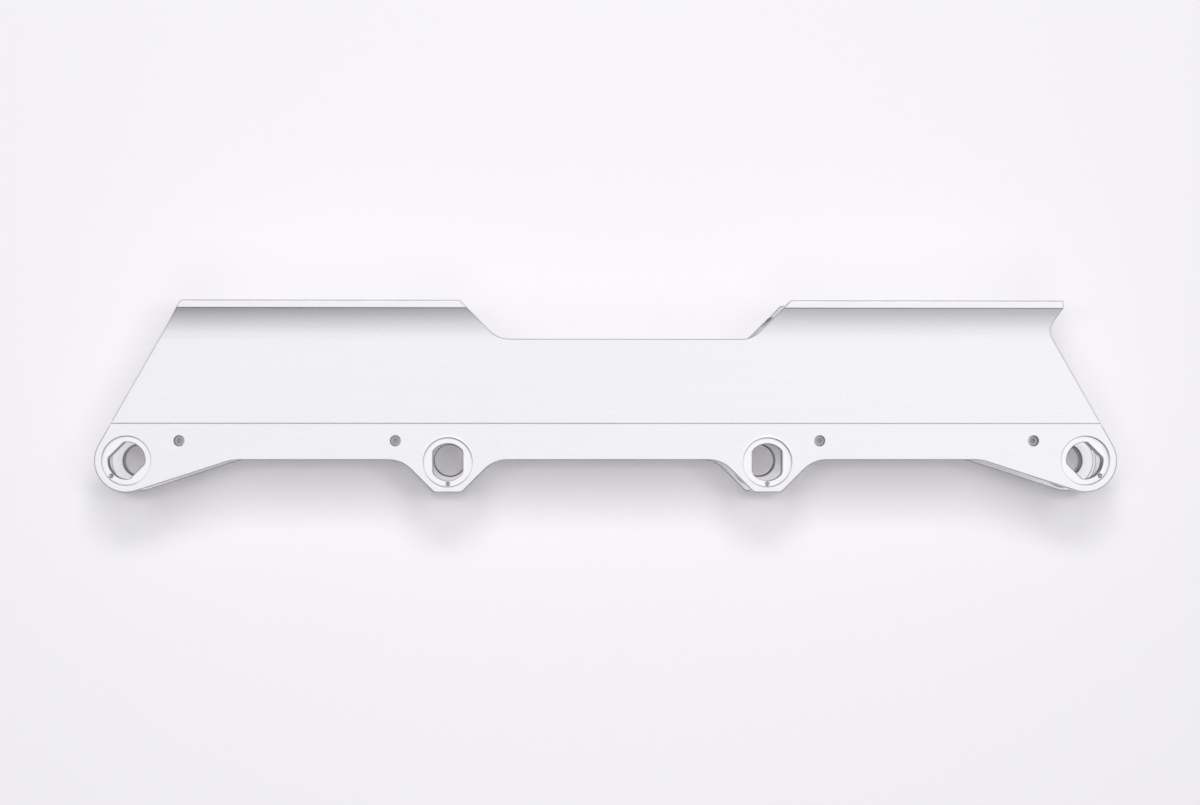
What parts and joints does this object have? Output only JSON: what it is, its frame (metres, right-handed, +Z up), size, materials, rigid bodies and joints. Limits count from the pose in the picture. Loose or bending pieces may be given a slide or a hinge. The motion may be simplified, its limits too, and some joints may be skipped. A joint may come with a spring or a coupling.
{
  "type": "inline skate frame",
  "caption": "Machined aluminium inline skate frame: a channel that holds the wheels in line, with flat-sided and round axle seats and slotted toe and heel mounting plates.",
  "frame": {"origin": "midway between the two end axles, on the plane that the undersides of the axle hubs share", "axes": "+X along the frame from toe to heel, +Z up towards the boot, +Y to the wall with the round axle bores; the wall with the flat-sided seats faces -Y"},
  "size_m": [0.291, 0.044, 0.0545],
  "materials": {
    "anodised_aluminium": "satin silver anodised",
    "screw_steel": "plain steel"
  },
  "bodies": {
    "root": {"frame_body": "anodised_aluminium", "set_screw_near_1": "screw_steel", "set_screw_near_2": "screw_steel", "set_screw_near_3": "screw_steel", "set_screw_near_4": "screw_steel", "set_screw_far_1": "screw_steel", "set_screw_far_2": "screw_steel", "set_screw_far_3": "screw_steel", "set_screw_far_4": "screw_steel"}
  },
  "joints": []
}
